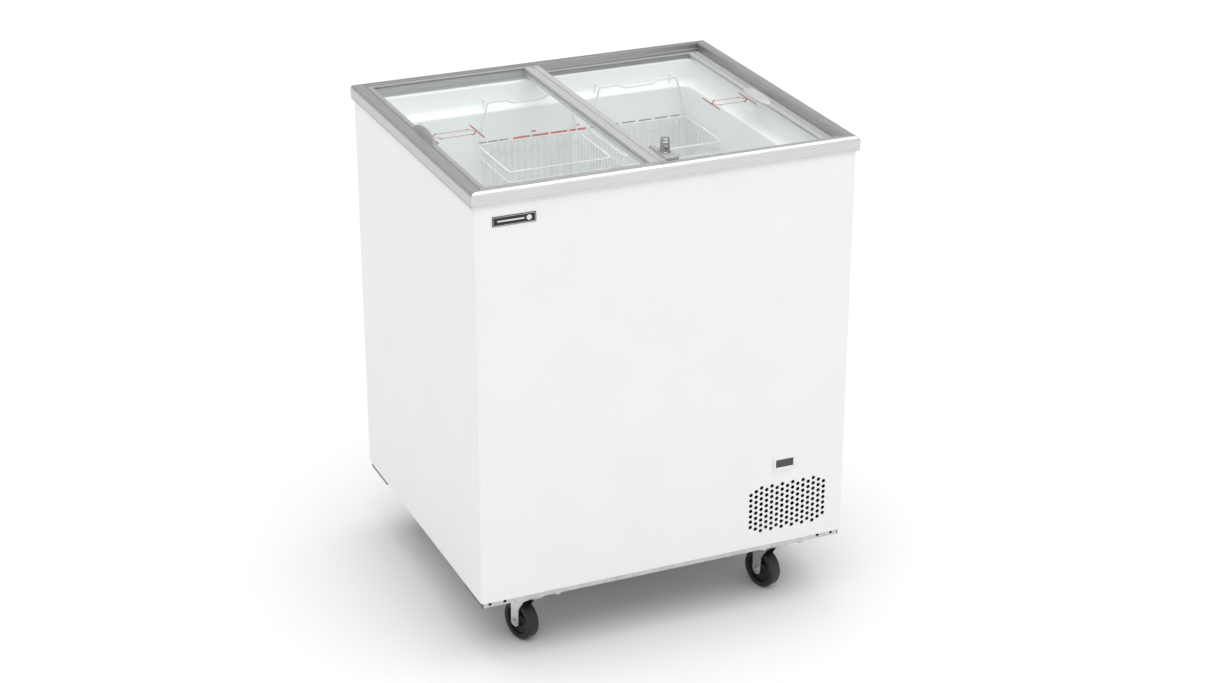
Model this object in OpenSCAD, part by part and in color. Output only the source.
// Chest display freezer with two sliding glass lids, on four swivel castors.
// X runs to the right along the front, the front faces -Y and Z is up.
// The origin is on the floor under the middle of the cabinet.

/* [Cabinet] */
// Overall width, across the top rails
cab_w = 720; // [700:10:860]
// Overall depth, across the top rails
cab_d = 630; // [610:10:700]
// Height of the top rails above the floor
cab_h = 895; // [880:5:960]
// How far the top rails stand out over the panels
rail_overhang = 4; // [2:0.5:6]
// Thickness of the sheet steel panels
sheet = 1; // [0.6:0.1:1.5]
// Outer radius of the vertical bends of the front and back panels
bend_r = 6; // [4:0.5:12]

/* [Top rails and tracks] */
// Height of a rail
rail_h = 26; // [24:1:34]
// Radius of the rounded outer edge of a rail
nose_r = 8; // [4:1:10]
// Width of the top face of the front and rear rails
track_lip = 18; // [14:1:20]
// Width of the top face of the left and right rails
side_lip = 25; // [22:1:28]
// Width of each of the two steps that the lids slide on
step_w = 6; // [5:0.5:8]
// Depth of the upper step below the top of the rails
upper_drop = 10; // [10:0.5:11]
// Depth of the lower step below the top of the rails
lower_drop = 22; // [22:0.5:23]

/* [Lids] */
// Thickness of the glass
glass_t = 4; // [3:0.5:4]
// Play between a lid and the steps and walls around it
play = 0.5; // [0.3:0.1:1]
// Width of the stile where the two lids overlap
centre_stile_w = 30; // [26:1:34]
// Length of a finger grip
grip_l = 105; // [90:5:140]
// Width of the stile on the outer edge of the lower lid
edge_stile_w = 24; // [20:1:28]

/* [Tub] */
// Inside width of the tub
tub_w = 590; // [570:5:600]
// Inside depth of the tub, front to back
tub_d = 500; // [490:5:510]
// Height of the tub floor above the floor
tub_floor_z = 200; // [190:5:210]
// Height of the floor over the machine compartment
hump_z = 480; // [470:5:490]
// Height of the ledge that the baskets hang on
ledge_z = 828; // [826:1:832]
// How far the tub widens above the ledge
ledge_w = 28; // [26:1:30]

/* [Castors] */
// Wheel diameter
wheel_d = 75; // [70:1:80]
// Wheel width
wheel_w = 24; // [20:1:26]
// Height from the floor to the top of the castor plate
castor_h = 115; // [112:1:117]
// Distance of a castor's swivel axis from the middle of the cabinet, along X
castor_x = 243; // [230:1:260]
// Distance of a castor's swivel axis from the middle of the cabinet, along Y
castor_y = 268; // [260:1:270]
// Horizontal distance from the swivel axis to the axle
trail = 32; // [28:0.5:33]
// Direction in which the front wheels trail at rest, in degrees from +X; the rear ones mirror it
castor_turn = 108; // [60:1:120]

/* [Vent and display] */
// Number of columns of vent holes
vent_cols = 15; // [9:2:15]
// Distance between columns
vent_pitch_x = 10.56; // [10:0.01:11]
// Distance between holes in a column
vent_pitch_z = 10.9; // [10:0.1:11]
// Diameter of a vent hole
vent_hole_d = 7.5; // [5:0.1:7.5]
// Centre of the vent along X
vent_x = 241.5; // [235:0.5:245]
// Centre of the vent above the floor
vent_z = 202; // [198:1:210]
// Centre of the display along X
display_x = 233; // [220:1:240]
// Centre of the display above the floor
display_z = 289; // [285:1:295]

/* [Baskets] */
// Width of a basket
basket_w = 204; // [190:2:206]
// Depth of a basket, front to back
basket_d = 165; // [150:5:200]
// Height of a basket's rim above the floor
basket_rim_z = 769; // [750:1:775]
// Height of a basket's wire floor above the floor
basket_floor_z = 500; // [500:5:560]
// Wire thickness
wire = 3; // [2.5:0.5:4]
// Gap between the right basket and the side of the tub
basket_side_gap = 7; // [6:1:12]
// Gap between the two baskets
basket_between = 22; // [16:1:40]

/* [Hidden] */

$fn = 48;
cut = 1; // how far a cutting solid runs past the face it cuts

// Outer planes of the cabinet
half_w = cab_w / 2;
half_d = cab_d / 2;
panel_x = half_w - rail_overhang;
panel_y = half_d - rail_overhang;
rail_z = cab_h - rail_h;
beam_h = 12;
panel_z = castor_h + beam_h;
panel_h = rail_z - panel_z;
return_d = 20;

// Tracks
upper_z = cab_h - upper_drop;
lower_z = cab_h - lower_drop;
upper_wall_y = half_d - track_lip;
lower_wall_y = upper_wall_y - step_w;
throat_y = lower_wall_y - step_w;
side_wall_x = half_w - side_lip;
side_ledge_w = 5;
groove_w = 1.6;
groove_deep = 0.8;

// Lids, bottom to top
lift = 0.3;
under_t = 2;
over_t = 1.5;
slot_deep = 2;
runner_w = 10.5;
frame_over = 0.5;
centre_right_x = 3;
upper_left_x = -side_wall_x + 1.5;
lower_left_x = centre_right_x - centre_stile_w + 2;
lower_right_x = side_wall_x - play;
lower_glass_x = centre_right_x - 22;
edge_w = 8;
stile_slot = 8;
stile_groove_w = 6;

// Lock, on the right of the upper lid's centre stile
lock_x = 15;
lock_y = -255;
lock_reach = 28;
lock_base_t = 3;
barrel_h = 26;
barrel_r = 9.5;
barrel_top_r = 7.5;
core_r = 5;
running_fit = 0.05;
cam_room_r = 9;
cam_room_h = 4;

// Tub and insulation
liner_t = 1.5;
tub_r = 20;
pan_t = 1.2;
hump_x = 60;
bay_x = 112;
bay_top_z = 420;
flange_t = 1;
coil_d = 8;
coil_room = 9;
coil_turns = 5;
coil_first_z = 520;
coil_step = 56;

// Base beams
beam_w = 90;
beam_t = 2;
beam_x = panel_x - 6;
beam_front_y = panel_y - 6;
tie_hole_r = 4.5;
tie_x = 330;
tie_y = 270;
flange_hole_d = 6;
flange_hole_x = [310, 338];

// Castors
plate_l = 95;
plate_w = 66;
plate_t = 2.5;
plate_r = 6;
bolt_dx = 38;
bolt_dy = 24;
bolt_d = 8;
hex_d = 14;
cup_r = 26;
cup_h = 6;
pin_r = 5;
rivet_r = 9;
rivet_h = 3;
fork_t = 2.5;
fork_gap = 2;
fork_top_z = castor_h - plate_t - cup_h - 0.5;
fork_in = wheel_w / 2 + fork_gap;
leg_end_r = 11;
leg_flare = 22;
axle_r = 4;
CASTORS = [[-1, -1], [1, -1], [-1, 1], [1, 1]];

// Machine compartment
fan_x = 235;
fan_z = 215;
fan_r = 58;
condenser_y = -296;
condenser_t = 28;
shroud_y = condenser_y + condenser_t;
fan_y = shroud_y + 8;
fan_l = 18;
motor_y = fan_y + fan_l + 3;
motor_l = 42;
shaft_r = 2.5;
comp_x = 240;
comp_y = 70;
comp_r = 72;
comp_h = 150;
comp_z = 150;
dome_r = 34;

// Drain, in the front left of the tub floor
drain_x = -190;
drain_y = -150;
drain_r = 9;
drain_bore_r = 7;
drain_end_z = panel_z - 22;
nozzle_r = 8;
nozzle_l = 19;

// Baskets
basket_right_x = tub_w / 2 - basket_side_gap - basket_w;
basket_left_x = basket_right_x - basket_between - basket_w;
basket_back_y = tub_d / 2 - 8;
basket_gap = 0.2;
hook_top_z = ledge_z + 22;
hook_inset = 22;
hook_l = 30;
mat_cols = 13;
side_cols = 10;
mat_rows = 5;

// ---------- shared shapes ----------

// A rectangle with true round corners, about the origin
module round_rect(w, d, r) {
    square([w - 2 * r, d], center = true);
    square([w, d - 2 * r], center = true);
    for (sx = [-1, 1], sy = [-1, 1])
        translate([sx * (w / 2 - r), sy * (d / 2 - r)])
            circle(r = r);
}

// A box given by its lowest and highest corners
module span(low, high) {
    translate(low)
        cube(high - low);
}

// A cylinder along Y that starts at y
module bar_y(x, y, z, l, r) {
    translate([x, y, z])
        rotate([-90, 0, 0])
            cylinder(h = l, r = r);
}

// A cylinder along X that starts at x
module bar_x(x, y, z, l, r) {
    translate([x, y, z])
        rotate([0, 90, 0])
            cylinder(h = l, r = r);
}

// A hexagonal prism for bolt heads and nuts
module hex(h) {
    cylinder(h = h, d = hex_d, $fn = 6);
}

// ---------- panels ----------

// The plan of all four panels: one sheet thickness with round corners
module wall_plan() {
    difference() {
        round_rect(2 * panel_x, 2 * panel_y, bend_r);
        round_rect(2 * (panel_x - sheet), 2 * (panel_y - sheet), bend_r - sheet);
    }
}

// The part of the panel plan inside a rectangle, drawn up to the rails
module wall(low, high) {
    translate([0, 0, panel_z])
        linear_extrude(panel_h)
            intersection() {
                wall_plan();
                translate(low)
                    square(high - low);
            }
}

function vent_rows(col) =
    col == 0 || col == vent_cols - 1 ? 7 : col % 2 == 0 ? 9 : 8;

module vent_holes() {
    for (col = [0 : vent_cols - 1], row = [0 : vent_rows(col) - 1])
        bar_y(
            vent_x + (col - (vent_cols - 1) / 2) * vent_pitch_x,
            -panel_y - cut,
            vent_z + (row - (vent_rows(col) - 1) / 2) * vent_pitch_z,
            sheet + 2 * cut,
            vent_hole_d / 2
        );
}

display_w = 46;
display_h = 28;
display_cut = 4;
module front_panel() {
    color("white")
        difference() {
            wall([-half_w, -half_d], [half_w, -panel_y + return_d]);
            vent_holes();
            span(
                [display_x - display_w / 2 + display_cut, -panel_y - cut,
                 display_z - display_h / 2 + display_cut],
                [display_x + display_w / 2 - display_cut, -panel_y + sheet + cut,
                 display_z + display_h / 2 - display_cut]
            );
        }
}

module side_panel() {
    wall([-half_w, -panel_y + return_d], [-panel_x + bend_r + sheet, panel_y - return_d]);
}

module left_side_panel() {
    color("white")
        side_panel();
}

module right_side_panel() {
    color("white")
        mirror([1, 0, 0])
            side_panel();
}

grille_x0 = 165;
grille_x1 = 343;
grille_z0 = 150;
grille_z1 = 330;
grille_rim = 8;
grille_t = 1.2;
inlet_x = 140;
inlet_z = 172;
inlet_w = 28;
inlet_h = 48;
module back_panel() {
    color("white")
        difference() {
            wall([-half_w, panel_y - return_d], [half_w, half_d]);
            span([grille_x0 + grille_rim, panel_y - 2 * sheet, grille_z0 + grille_rim],
                 [grille_x1 - grille_rim, panel_y + cut, grille_z1 - grille_rim]);
            span([inlet_x - inlet_w / 2, panel_y - 2 * sheet, inlet_z - inlet_h / 2],
                 [inlet_x + inlet_w / 2, panel_y + cut, inlet_z + inlet_h / 2]);
        }
}

louvre_pitch = 14;
louvre_h = 7;
module rear_grille() {
    color("white")
        difference() {
            span([grille_x0, panel_y, grille_z0], [grille_x1, panel_y + grille_t, grille_z1]);
            for (z = [grille_z0 + 2 * grille_rim : louvre_pitch : grille_z1 - 2 * grille_rim - louvre_h])
                span([grille_x0 + 2 * grille_rim, panel_y - cut, z],
                     [grille_x1 - 2 * grille_rim, panel_y + grille_t + cut, z + louvre_h]);
        }
}

// Room for the drain pipe through whatever the module's children are
module drilled_for_drain() {
    difference() {
        children();
        translate([drain_x, drain_y, 0])
            cylinder(h = tub_floor_z + cut, r = drain_r);
    }
}

module base_pan() {
    color("gainsboro")
        drilled_for_drain()
            translate([0, 0, panel_z])
                linear_extrude(pan_t)
                    round_rect(2 * (panel_x - sheet), 2 * (panel_y - sheet), bend_r - sheet);
}

// ---------- tub ----------

// The tub's hollow, grown outwards by t
module tub_space(t) {
    r = tub_r + t;
    translate([0, 0, hump_z - t])
        linear_extrude(ledge_z - hump_z + t)
            round_rect(tub_w + 2 * t, tub_d + 2 * t, r);
    translate([(hump_x - tub_w / 2) / 2, 0, tub_floor_z - t])
        linear_extrude(hump_z - tub_floor_z)
            round_rect(tub_w / 2 + hump_x + 2 * t, tub_d + 2 * t, r);
    translate([0, 0, ledge_z - t])
        linear_extrude(rail_z - ledge_z + t)
            round_rect(tub_w + 2 * ledge_w + 2 * t, tub_d + 2 * ledge_w + 2 * t, r);
}

module inner_liner() {
    color("white")
        drilled_for_drain()
            difference() {
                union() {
                    tub_space(liner_t);
                    span([-panel_x + sheet + bend_r, -panel_y + sheet + bend_r, rail_z - flange_t],
                         [panel_x - sheet - bend_r, panel_y - sheet - bend_r, rail_z]);
                }
                tub_space(0);
                translate([0, 0, rail_z - flange_t])
                    linear_extrude(flange_t + cut)
                        round_rect(tub_w + 2 * ledge_w, tub_d + 2 * ledge_w, tub_r);
            }
}

module foam_insulation() {
    color("khaki")
        drilled_for_drain()
            difference() {
                translate([0, 0, panel_z + pan_t])
                    linear_extrude(panel_h - pan_t - flange_t)
                        round_rect(2 * (panel_x - sheet), 2 * (panel_y - sheet), bend_r - sheet);
                tub_space(liner_t);
                span([bay_x, -panel_y, panel_z], [panel_x, panel_y, bay_top_z]);
                for (turn = [0 : coil_turns - 1])
                    translate([0, 0, coil_first_z + turn * coil_step - coil_room / 2])
                        linear_extrude(coil_room)
                            round_rect(
                                tub_w + 2 * (liner_t + coil_room),
                                tub_d + 2 * (liner_t + coil_room),
                                tub_r + liner_t + coil_room
                            );
            }
}

// One turn of the cold pipe, round the outside of the liner
module coil_turn() {
    x = tub_w / 2 + liner_t + coil_room / 2;
    y = tub_d / 2 + liner_t + coil_room / 2;
    r = tub_r + liner_t + coil_room / 2;
    for (side = [-1, 1]) {
        bar_x(-x + r, side * y, 0, 2 * (x - r), coil_d / 2);
        bar_y(side * x, -y + r, 0, 2 * (y - r), coil_d / 2);
    }
    for (corner = [0 : 3])
        translate([(corner == 0 || corner == 3 ? 1 : -1) * (x - r), (corner < 2 ? 1 : -1) * (y - r), 0])
            rotate([0, 0, 90 * corner])
                rotate_extrude(angle = 90)
                    translate([r, 0])
                        circle(d = coil_d);
}

module evaporator_coil() {
    color("peru")
        for (turn = [0 : coil_turns - 1])
            translate([0, 0, coil_first_z + turn * coil_step])
                coil_turn();
}

module drain_spout() {
    color("silver")
        translate([drain_x, drain_y, drain_end_z])
            difference() {
                union() {
                    cylinder(h = nozzle_l, r = nozzle_r);
                    translate([0, 0, nozzle_l])
                        cylinder(h = tub_floor_z - drain_end_z - nozzle_l, r = drain_r);
                }
                translate([0, 0, -cut])
                    cylinder(h = tub_floor_z - drain_end_z + 2 * cut, r = drain_bore_r);
            }
}

plug_stem = 14;
plug_head = 4;
module drain_plug() {
    color("dimgray")
        translate([drain_x, drain_y, tub_floor_z]) {
            translate([0, 0, -plug_stem])
                cylinder(h = plug_stem, r = drain_bore_r - running_fit);
            cylinder(h = plug_head, r = drain_r + 5);
            translate([0, 0, plug_head])
                cylinder(h = plug_head, r = 4);
        }
}

// ---------- top rails ----------

// Outer part of a rail's section: x runs inwards from the outer face, y runs up
module rail_outline(lip) {
    difference() {
        union() {
            square([lip, rail_h - nose_r]);
            translate([nose_r, 0])
                square([lip - nose_r, rail_h]);
            translate([nose_r, rail_h - nose_r])
                circle(r = nose_r);
        }
        translate([-cut, 2])
            square([cut + groove_deep, groove_w]);
        translate([lip - 4, rail_h - groove_deep])
            square([groove_w, groove_deep + cut]);
    }
}

// Front and rear rails: the outline, and two steps for the lids to slide on
module track_section() {
    rail_outline(track_lip);
    translate([track_lip, 0])
        square([step_w, rail_h - upper_drop]);
    translate([track_lip + step_w, 0])
        square([step_w, rail_h - lower_drop]);
}

// Front rail, mitred to the left and right rails
module track_rail() {
    intersection() {
        translate([-half_w, -half_d, rail_z])
            rotate([90, 0, 90])
                linear_extrude(cab_w)
                    track_section();
        translate([0, 0, rail_z - cut])
            linear_extrude(rail_h + 2 * cut)
                polygon([
                    [-half_w, -half_d], [half_w, -half_d],
                    [side_wall_x, -upper_wall_y], [side_wall_x, -throat_y],
                    [-side_wall_x, -throat_y], [-side_wall_x, -upper_wall_y]
                ]);
    }
}

// Left rail, mitred to the front and rear rails, with a low ledge between them
module side_rail() {
    intersection() {
        translate([-half_w, half_d, rail_z])
            rotate([90, 0, 0])
                linear_extrude(cab_d)
                    rail_outline(side_lip);
        translate([0, 0, rail_z - cut])
            linear_extrude(rail_h + 2 * cut)
                polygon([
                    [-half_w, -half_d], [-side_wall_x, -upper_wall_y],
                    [-side_wall_x, upper_wall_y], [-half_w, half_d]
                ]);
    }
    span([-side_wall_x - cut, -throat_y, rail_z],
         [-side_wall_x + side_ledge_w, throat_y, lower_z - lift]);
}

module front_rail() {
    color("silver")
        track_rail();
}

module rear_rail() {
    color("silver")
        mirror([0, 1, 0])
            track_rail();
}

module left_rail() {
    color("silver")
        side_rail();
}

module right_rail() {
    color("silver")
        mirror([1, 0, 0])
            side_rail();
}

// ---------- lids ----------

// U section round the front or rear edge of a glass: x runs inwards, y runs up
module runner_section() {
    difference() {
        square([runner_w, under_t + glass_t + over_t]);
        translate([slot_deep, under_t])
            square([runner_w, glass_t]);
    }
}

// Both runners of a lid whose edges are at +-wall_y, from x0 to x1
module runners(x0, x1, wall_y, z) {
    for (side = [0, 1])
        mirror([0, side, 0])
            translate([x0, -wall_y + play, z])
                rotate([90, 0, 90])
                    linear_extrude(x1 - x0)
                        runner_section();
}

// A pane whose long edges sit in the runners' slots
module pane(x0, x1, wall_y, z) {
    y = wall_y - play - slot_deep;
    span([x0, -y, z], [x1, y, z + glass_t]);
}

// A stile between the runners, slotted on one side (-1 or 1) for the pane, with a groove on top
module stile(x0, x1, wall_y, z, slot_side, groove_x, groove) {
    y = wall_y - play - runner_w;
    top = under_t + glass_t + over_t + frame_over;
    slot_x = slot_side < 0 ? x0 - cut : x1 - stile_slot;
    difference() {
        span([x0, -y, z], [x1, y, z + top]);
        span([slot_x, -y - cut, z + under_t],
             [slot_x + stile_slot + cut, y + cut, z + under_t + glass_t]);
        span([groove_x, -y - cut, z + top - over_t],
             [groove_x + groove, y + cut, z + top + cut]);
    }
}

upper_base = upper_z + lift;
lower_base = lower_z + lift;
stile_top = under_t + glass_t + over_t + frame_over;

module upper_glass() {
    color("paleturquoise", 0.4)
        pane(upper_left_x + edge_w - stile_slot + slot_deep, centre_right_x - centre_stile_w + stile_slot,
             upper_wall_y, upper_base + under_t);
}

module upper_runners() {
    color("gray")
        runners(upper_left_x, centre_right_x, upper_wall_y, upper_base);
}

// Both finger grips are centred a little in front of the lids' middle
grip_y = -6;

// Radius of an arc from its chord and its height
function arc_r(chord, height) = (pow(chord / 2, 2) + pow(height, 2)) / (2 * height);

// A half-moon tab that stands along Y and leans towards +X
tab_h = 14;
tab_t = 3;
tab_lean = 25;
tab_sink = 1.2;
module grip_tab() {
    rotate([0, tab_lean, 0])
        intersection() {
            translate([0, 0, tab_h - arc_r(grip_l, tab_h)])
                rotate([0, 90, 0])
                    cylinder(h = tab_t, r = arc_r(grip_l, tab_h), $fn = 96);
            span([-cut, -grip_l / 2, -tab_sink], [tab_t + cut, grip_l / 2, tab_h + cut]);
        }
}

// Narrow edge strip with a finger grip: a half-round pad over the glass and a tab to pull on
pad_out = 6;
pad_h = 1.2;
module upper_grip_stile() {
    y = upper_wall_y - play - runner_w;
    x1 = upper_left_x + edge_w;
    pad_r = arc_r(grip_l, pad_out);
    color("gray")
        difference() {
            union() {
                span([upper_left_x, -y, upper_base], [x1, y, upper_base + stile_top]);
                intersection() {
                    translate([x1 + pad_out - pad_r, grip_y, upper_base + under_t + glass_t])
                        cylinder(h = stile_top - under_t - glass_t + pad_h, r = pad_r, $fn = 96);
                    span([upper_left_x, grip_y - grip_l / 2, upper_base],
                         [x1 + pad_out, grip_y + grip_l / 2, cab_h]);
                }
                translate([upper_left_x + 1, grip_y, upper_base + stile_top])
                    grip_tab();
            }
            span([upper_left_x + slot_deep, -y - cut, upper_base + under_t],
                 [x1 + cut, y + cut, upper_base + under_t + glass_t]);
        }
}

module upper_centre_stile() {
    color("silver")
        stile(centre_right_x - centre_stile_w, centre_right_x, upper_wall_y, upper_base, -1,
              centre_right_x - centre_stile_w / 2 - stile_groove_w / 2, stile_groove_w);
}

// Base of the lock, flared out of the centre stile, and its tapered barrel
module lock_housing() {
    top = upper_base + stile_top + lock_base_t;
    x0 = centre_right_x;
    color("silver")
        difference() {
            union() {
                translate([0, 0, upper_base])
                    linear_extrude(stile_top + lock_base_t)
                        polygon([
                            [x0, lock_y + 48], [x0, lock_y - 28],
                            [x0 + lock_reach, lock_y - 28], [x0 + lock_reach, lock_y + 8],
                            [x0 + lock_reach - 8, lock_y + 20]
                        ]);
                translate([lock_x, lock_y, top])
                    cylinder(h = barrel_h, r1 = barrel_r, r2 = barrel_top_r);
            }
            translate([lock_x, lock_y, upper_base])
                cylinder(h = stile_top + lock_base_t + barrel_h + cut, r = core_r + running_fit);
            translate([lock_x, lock_y, upper_base - cut])
                cylinder(h = cam_room_h + cut, r = cam_room_r);
        }
}

// Turning plug with a key slot on top and a small cam below
module lock_core() {
    top = upper_base + stile_top + lock_base_t + barrel_h;
    color("gainsboro")
        translate([lock_x, lock_y, 0])
            difference() {
                union() {
                    translate([0, 0, upper_base + 0.5])
                        cylinder(h = top - upper_base, r = core_r);
                    intersection() {
                        translate([0, 0, upper_base + 0.5])
                            cylinder(h = cam_room_h - 1, r = cam_room_r - 0.5);
                        span([-3, 0, upper_base], [3, cam_room_r, upper_base + cam_room_h]);
                    }
                }
                span([-0.8, -3.5, top - 6], [0.8, 3.5, top + cut]);
            }
}

module lower_glass() {
    color("paleturquoise", 0.4)
        pane(lower_glass_x, lower_right_x - edge_stile_w + stile_slot,
             lower_wall_y, lower_base + under_t);
}

module lower_runners() {
    color("gray")
        runners(lower_left_x, lower_right_x, lower_wall_y, lower_base);
}

module lower_centre_stile() {
    y = lower_wall_y - play - runner_w;
    color("silver")
        difference() {
            span([lower_left_x, -y, lower_base], [centre_right_x, y, lower_base + stile_top]);
            span([lower_glass_x, -y - cut, lower_base + under_t],
                 [centre_right_x + cut, y + cut, lower_base + under_t + glass_t]);
        }
}

// Wide edge stile with a lens-shaped finger grip, low enough to pass under the upper lid
lens_w = 24;
lens_in = 8;
lens_h = 3;
module lower_grip_stile() {
    x = lower_right_x - edge_stile_w / 2;
    color("silver") {
        stile(lower_right_x - edge_stile_w, lower_right_x, lower_wall_y, lower_base, -1,
              x - groove_w, 2 * groove_w);
        translate([x - lens_in, grip_y, lower_base + stile_top - over_t])
            linear_extrude(over_t + lens_h)
                polygon([
                    [0, -grip_l / 2], [lens_w / 2, -grip_l / 4], [lens_w / 2, grip_l / 4],
                    [0, grip_l / 2], [-lens_w / 2, grip_l / 4], [-lens_w / 2, -grip_l / 4]
                ]);
    }
}

// ---------- base ----------

// A channel across the underside, open towards the base pan, drilled for castors and tie-downs
module base_beam() {
    y0 = -beam_front_y;
    color("silver")
        difference() {
            span([-beam_x, y0, castor_h], [beam_x, y0 + beam_w, panel_z]);
            span([-beam_x - cut, y0 + beam_t, castor_h + beam_t],
                 [beam_x + cut, y0 + beam_w - beam_t, panel_z + cut]);
            for (sx = [-1, 1]) {
                for (dx = [-1, 1], dy = [-1, 1])
                    translate([sx * castor_x + dx * bolt_dx, -castor_y + dy * bolt_dy, castor_h - cut])
                        cylinder(h = beam_t + 2 * cut, d = bolt_d + 2 * running_fit);
                translate([sx * tie_x, -tie_y, castor_h - cut])
                    cylinder(h = beam_t + 2 * cut, r = tie_hole_r);
                for (x = flange_hole_x)
                    bar_y(sx * x, y0 - cut, castor_h + beam_h / 2, beam_t + 2 * cut, flange_hole_d / 2);
            }
        }
}

module front_base_beam() {
    base_beam();
}

module rear_base_beam() {
    mirror([0, 1, 0])
        base_beam();
}

// Plastic caps that close the ends of the base beams
cap_in = 8;
cap_t = 2;
module beam_end_caps() {
    y0 = -beam_front_y;
    color("dimgray")
        for (sx = [0, 1], sy = [0, 1])
            mirror([sx, 0, 0])
                mirror([0, sy, 0]) {
                    span([beam_x, y0, castor_h], [beam_x + cap_t, y0 + beam_w, panel_z]);
                    span([beam_x - cap_in, y0 + beam_t, castor_h + beam_t],
                         [beam_x + cut, y0 + beam_w - beam_t, panel_z]);
                }
}

// Top plate, upper bearing cup and swivel rivet of one castor
module castor_plate() {
    difference() {
        union() {
            translate([0, 0, castor_h - plate_t])
                linear_extrude(plate_t)
                    round_rect(plate_l, plate_w, plate_r);
            translate([0, 0, castor_h - plate_t - cup_h])
                cylinder(h = cup_h, r = cup_r);
            translate([0, 0, fork_top_z - fork_t - 1])
                cylinder(h = castor_h - fork_top_z, r = pin_r);
            translate([0, 0, fork_top_z - fork_t - 0.5 - rivet_h])
                cylinder(h = rivet_h, r = rivet_r);
        }
        for (dx = [-1, 1], dy = [-1, 1])
            translate([dx * bolt_dx, dy * bolt_dy, castor_h - plate_t - cut])
                cylinder(h = plate_t + 2 * cut, d = bolt_d + 2 * running_fit);
    }
}

module castor_plates() {
    color("silver")
        for (c = CASTORS)
            translate([c[0] * castor_x, c[1] * castor_y, 0])
                castor_plate();
}

bolt_head = 5;
bolt_tail = 3;
module castor_bolts() {
    color("silver")
        for (c = CASTORS, dx = [-1, 1], dy = [-1, 1])
            translate([c[0] * castor_x + dx * bolt_dx, c[1] * castor_y + dy * bolt_dy, 0]) {
                translate([0, 0, castor_h - plate_t - bolt_head])
                    hex(bolt_head);
                translate([0, 0, castor_h - plate_t - cut])
                    cylinder(h = plate_t + beam_t + bolt_head + bolt_tail, d = bolt_d);
                translate([0, 0, castor_h + beam_t])
                    hex(bolt_head);
            }
}

// Puts a castor's swivelling pieces at corner c, turned to the rest direction
module at_castor(c) {
    translate([c[0] * castor_x, c[1] * castor_y, 0])
        rotate([0, 0, -c[1] * castor_turn])
            children();
}

// Swivelling fork: a bearing disc, a crown behind it and two legs down to the axle
module castor_fork(c) {
    color("gainsboro")
        at_castor(c)
            difference() {
                union() {
                    translate([0, 0, fork_top_z - fork_t])
                        cylinder(h = fork_t, r = cup_r);
                    span([0, -fork_in - fork_t, fork_top_z - fork_t],
                         [trail + leg_end_r, fork_in + fork_t, fork_top_z]);
                    for (side = [0, 1])
                        mirror([0, side, 0])
                            fork_leg();
                }
                translate([0, 0, fork_top_z - fork_t - cut])
                    cylinder(h = fork_t + 2 * cut, r = pin_r + running_fit);
                bar_y(trail, -fork_in - fork_t - cut, wheel_d / 2, 2 * (fork_in + fork_t + cut), axle_r);
            }
}

module fork_leg() {
    translate([0, -fork_in, 0])
        rotate([90, 0, 0])
            linear_extrude(fork_t) {
                polygon([
                    [-cup_r / 2, fork_top_z], [trail + leg_end_r, fork_top_z],
                    [trail + leg_end_r, wheel_d / 2], [trail - leg_end_r, wheel_d / 2],
                    [trail - leg_end_r, wheel_d / 2 + leg_flare], [0, fork_top_z - leg_flare / 2]
                ]);
                translate([trail, wheel_d / 2])
                    circle(r = leg_end_r);
            }
}

// Axle bolt with its head and nut outside the fork legs
module castor_axle(c) {
    l = 2 * (fork_in + fork_t);
    color("silver")
        at_castor(c)
            translate([trail, -l / 2, wheel_d / 2])
                rotate([-90, 0, 0]) {
                    cylinder(h = l, r = axle_r);
                    translate([0, 0, -4])
                        hex(4);
                    translate([0, 0, l])
                        hex(4);
                }
}

// Wheel with a recessed web and a hub that fills the fork
rim_t = 9;
web_t = 10;
hub_r = 11;
tread_r = 4;
module castor_wheel(c) {
    r = wheel_d / 2;
    color("black")
        at_castor(c)
            translate([trail, 0, r])
                rotate([90, 0, 0])
                    rotate_extrude($fn = 96) {
                        translate([axle_r + running_fit, -fork_in + 0.5])
                            square([hub_r - axle_r, 2 * fork_in - 1]);
                        translate([hub_r - 1, -web_t / 2])
                            square([r - rim_t - hub_r + 2, web_t]);
                        translate([r - rim_t, -wheel_w / 2])
                            square([rim_t - tread_r, wheel_w]);
                        translate([r - tread_r - 1, tread_r - wheel_w / 2])
                            square([tread_r + 1, wheel_w - 2 * tread_r]);
                        for (side = [-1, 1])
                            translate([r - tread_r, side * (wheel_w / 2 - tread_r)])
                                circle(r = tread_r);
                    }
}

module castor_fork_fl() { castor_fork(CASTORS[0]); }
module castor_fork_fr() { castor_fork(CASTORS[1]); }
module castor_fork_rl() { castor_fork(CASTORS[2]); }
module castor_fork_rr() { castor_fork(CASTORS[3]); }
module castor_axle_fl() { castor_axle(CASTORS[0]); }
module castor_axle_fr() { castor_axle(CASTORS[1]); }
module castor_axle_rl() { castor_axle(CASTORS[2]); }
module castor_axle_rr() { castor_axle(CASTORS[3]); }
module castor_wheel_fl() { castor_wheel(CASTORS[0]); }
module castor_wheel_fr() { castor_wheel(CASTORS[1]); }
module castor_wheel_rl() { castor_wheel(CASTORS[2]); }
module castor_wheel_rr() { castor_wheel(CASTORS[3]); }

// ---------- display and badge ----------

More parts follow.
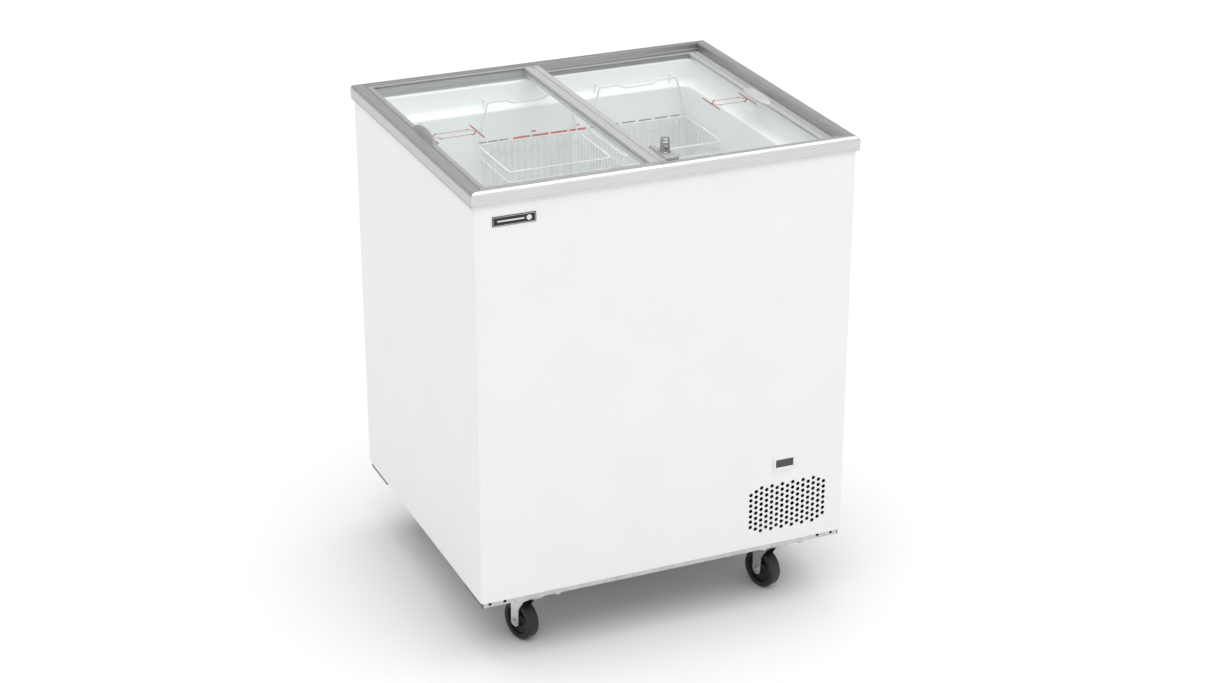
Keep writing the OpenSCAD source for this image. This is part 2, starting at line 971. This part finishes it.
bezel_out = 2.5;
window_w = 35;
window_h = 15.5;
bezel_deep = 16;
controller_l = 38;
module display_bezel() {
    w = display_w / 2;
    h = display_h / 2;
    color("white")
        difference() {
            union() {
                span([display_x - w, -panel_y - bezel_out, display_z - h],
                     [display_x + w, -panel_y, display_z + h]);
                span([display_x - w + display_cut, -panel_y - 1, display_z - h + display_cut],
                     [display_x + w - display_cut, -panel_y + bezel_deep, display_z + h - display_cut]);
            }
            span([display_x - window_w / 2, -panel_y - bezel_out - cut, display_z - window_h / 2],
                 [display_x + window_w / 2, -panel_y + bezel_deep + cut, display_z + window_h / 2]);
        }
}

module display_window() {
    color("darkslategray")
        span([display_x - window_w / 2, -panel_y - bezel_out + 1, display_z - window_h / 2],
             [display_x + window_w / 2, -panel_y - bezel_out + 3, display_z + window_h / 2]);
}

module controller() {
    color("dimgray")
        span([display_x - window_w / 2, -panel_y + 2, display_z - window_h / 2],
             [display_x + window_w / 2, -panel_y + controller_l, display_z + window_h / 2]);
}

badge_x = -283.5;
badge_z = 839;
badge_w = 78;
badge_h = 17.5;
module badge_plate() {
    color("black")
        span([badge_x - badge_w / 2, -panel_y - 1.2, badge_z - badge_h / 2],
             [badge_x + badge_w / 2, -panel_y, badge_z + badge_h / 2]);
}

// ---------- baskets ----------

// A flat wire mat in the X-Y plane, one wire thick, from the origin
module mat(w, h, cols, rows) {
    linear_extrude(wire) {
        for (i = [0 : cols - 1])
            translate([i * (w - wire) / (cols - 1), 0])
                square([wire, h]);
        for (i = [0 : rows - 1])
            translate([0, i * (h - wire) / (rows - 1)])
                square([w, wire]);
    }
}

// The basket's raised hanger: two leaning wires and a bar, hooked over the tub's ledge
module hanger(w) {
    rise = hook_top_z - basket_rim_z;
    hook_end_z = ledge_z + lift - basket_rim_z;
    rotate([90, 0, 0])
        linear_extrude(wire) {
            polygon([[0, -wire], [wire, -wire], [hook_inset + wire, rise], [hook_inset, rise]]);
            polygon([[w, -wire], [w - wire, -wire], [w - hook_inset - wire, rise], [w - hook_inset, rise]]);
            translate([hook_inset, rise - wire])
                square([w - 2 * hook_inset, wire]);
        }
    for (x = [hook_inset, w - hook_inset - wire]) {
        translate([x, -wire, rise - wire])
            cube([wire, hook_l, wire]);
        translate([x, hook_l - 2 * wire, hook_end_z])
            cube([wire, wire, rise - hook_end_z]);
    }
}

// Five wire mats, each a solid of its own; the back one carries the hanger
module basket(x0) {
    h = basket_rim_z - basket_floor_z;
    inset = wire + basket_gap;
    color("white")
        translate([x0, basket_back_y, basket_floor_z]) {
            rotate([90, 0, 0])
                mat(basket_w, h, mat_cols, mat_rows);
            translate([0, 0, h])
                hanger(basket_w);
            translate([0, wire - basket_d, 0])
                rotate([90, 0, 0])
                    mat(basket_w, h, mat_cols, mat_rows);
            for (x = [0, basket_w - wire])
                translate([x, inset - basket_d, 0])
                    rotate([90, 0, 90])
                        mat(basket_d - 2 * inset, h, side_cols, mat_rows);
            translate([inset, inset - basket_d, wire])
                mat(basket_w - 2 * inset, basket_d - 2 * inset, mat_cols, mat_rows);
        }
}

module basket_left() {
    basket(basket_left_x);
}

module basket_right() {
    basket(basket_right_x);
}

// ---------- machine compartment, behind the vent ----------

module compressor_tray() {
    color("silver")
        span([comp_x - 100, comp_y - 80, panel_z + pan_t],
             [comp_x + 100, comp_y + 80, panel_z + pan_t + 2]);
}

foot_dx = 80;
foot_dy = 55;
foot_z = panel_z + pan_t + 2;
module compressor_feet() {
    color("dimgray")
        for (dx = [-1, 1], dy = [-1, 1])
            translate([comp_x + dx * foot_dx, comp_y + dy * foot_dy, foot_z])
                cylinder(h = comp_z - foot_z, r = 12);
}

// Welded steel can on a foot plate
module compressor() {
    color("black")
        translate([comp_x, comp_y, comp_z]) {
            linear_extrude(3)
                round_rect(2 * foot_dx + 28, 2 * foot_dy + 28, 12);
            translate([0, 0, 3])
                rotate_extrude()
                    difference() {
                        union() {
                            square([comp_r, comp_h - dome_r]);
                            square([comp_r - dome_r, comp_h]);
                            translate([comp_r - dome_r, comp_h - dome_r])
                                circle(r = dome_r);
                        }
                        translate([-2 * comp_r, -cut])
                            square([2 * comp_r, comp_h + 2 * cut]);
                    }
        }
}

module terminal_box() {
    color("dimgray")
        difference() {
            span([comp_x - comp_r - 22, comp_y - 28, comp_z + 40], [comp_x - 40, comp_y + 28, comp_z + 95]);
            translate([comp_x, comp_y, comp_z])
                cylinder(h = comp_h, r = comp_r);
        }
}

fin_count = 14;
condenser_w = 160;
condenser_h = 122;
tube_r = 4;
module condenser() {
    x0 = fan_x - condenser_w / 2;
    z0 = fan_z - condenser_h / 2;
    color("dimgray") {
        for (i = [0 : fin_count - 1])
            translate([x0 + i * (condenser_w - 1.2) / (fin_count - 1), condenser_y, z0])
                cube([1.2, condenser_t, condenser_h]);
        for (row = [0 : 3])
            bar_x(x0 - 6, condenser_y + condenser_t / 2, z0 + (row + 0.5) * condenser_h / 4,
                  condenser_w + 12, tube_r);
    }
}

// Plate with the fan's hole, and the strap that holds the motor behind it
shroud_half = 74;
module fan_shroud() {
    strap_y = motor_y + motor_l;
    color("silver") {
        difference() {
            span([fan_x - shroud_half, shroud_y, fan_z - shroud_half],
                 [fan_x + shroud_half, shroud_y + 2, fan_z + shroud_half]);
            bar_y(fan_x, shroud_y - cut, fan_z, 2 + 2 * cut, fan_r + 4);
        }
        for (side = [-1, 1])
            span([fan_x + side * (shroud_half - 4) - 4, shroud_y, fan_z - 10],
                 [fan_x + side * (shroud_half - 4) + 4, strap_y + 3, fan_z + 10]);
        span([fan_x - shroud_half + 2, strap_y, fan_z - 10],
             [fan_x + shroud_half - 2, strap_y + 3, fan_z + 10]);
    }
}

module fan_motor() {
    color("dimgray")
        difference() {
            bar_y(fan_x, motor_y, fan_z, motor_l, 30);
            bar_y(fan_x, motor_y - cut, fan_z, 20, shaft_r + running_fit);
        }
}

// Hub with five pitched blades, on the shaft that runs into the motor
module fan_blades() {
    color("gainsboro") {
        bar_y(fan_x, fan_y, fan_z, fan_l, 15);
        bar_y(fan_x, fan_y + fan_l - 1, fan_z, 16, shaft_r);
        for (blade = [0 : 4])
            translate([fan_x, fan_y + fan_l / 2, fan_z])
                rotate([0, 72 * blade, 0])
                    rotate([0, 0, 28])
                        translate([-14, -1, 12])
                            cube([28, 2, fan_r - 14]);
    }
}

module filter_drier() {
    color("peru")
        translate([comp_x + 70, comp_y - 130, fan_z + 70]) {
            cylinder(h = 80, r = 10);
            translate([0, 0, 80])
                cylinder(h = 14, r1 = 10, r2 = 3);
            translate([0, 0, -14])
                cylinder(h = 14, r1 = 3, r2 = 10);
        }
}

// A pipe of straight lengths through the given points, with ball joints at the bends
module pipe(points, r) {
    for (i = [0 : len(points) - 2]) {
        d = points[i + 1] - points[i];
        translate(points[i])
            rotate([0, acos(d[2] / norm(d)), atan2(d[1], d[0])])
                cylinder(h = norm(d), r = r);
    }
    for (i = [1 : len(points) - 2])
        translate(points[i])
            sphere(r = r);
}

pipe_z = comp_z + 60;
module refrigerant_pipes() {
    color("peru") {
        pipe([[comp_x + comp_r, comp_y, pipe_z], [comp_x + 98, comp_y, pipe_z],
              [comp_x + 98, comp_y - 200, pipe_z], [comp_x + 98, comp_y - 200, pipe_z + 90]], 3);
        pipe([[comp_x, comp_y + comp_r, pipe_z], [comp_x, comp_y + 120, pipe_z],
              [comp_x, comp_y + 120, bay_top_z - 5]], 4);
    }
}

// Flanged mains socket in the back panel
module power_inlet() {
    color("black")
        difference() {
            union() {
                span([inlet_x - inlet_w / 2 - 5, panel_y, inlet_z - inlet_h / 2 - 5],
                     [inlet_x + inlet_w / 2 + 5, panel_y + 2.5, inlet_z + inlet_h / 2 + 5]);
                span([inlet_x - inlet_w / 2, panel_y - 28, inlet_z - inlet_h / 2],
                     [inlet_x + inlet_w / 2, panel_y + 1, inlet_z + inlet_h / 2]);
            }
            span([inlet_x - 10, panel_y - 16, inlet_z - 14], [inlet_x + 10, panel_y + 3 + cut, inlet_z + 14]);
        }
}

front_panel();
left_side_panel();
right_side_panel();
back_panel();
rear_grille();
base_pan();
foam_insulation();
inner_liner();
front_rail();
rear_rail();
left_rail();
right_rail();
front_base_beam();
rear_base_beam();
beam_end_caps();
castor_plates();
castor_bolts();
castor_fork_fl();
castor_fork_fr();
castor_fork_rl();
castor_fork_rr();
castor_axle_fl();
castor_axle_fr();
castor_axle_rl();
castor_axle_rr();
castor_wheel_fl();
castor_wheel_fr();
castor_wheel_rl();
castor_wheel_rr();
display_bezel();
display_window();
controller();
badge_plate();
upper_glass();
upper_grip_stile();
upper_centre_stile();
upper_runners();
lock_housing();
lock_core();
lower_glass();
lower_grip_stile();
lower_centre_stile();
lower_runners();
basket_left();
basket_right();
compressor();
compressor_feet();
compressor_tray();
terminal_box();
condenser();
fan_shroud();
fan_motor();
fan_blades();
filter_drier();
refrigerant_pipes();
evaporator_coil();
power_inlet();
drain_spout();
drain_plug();
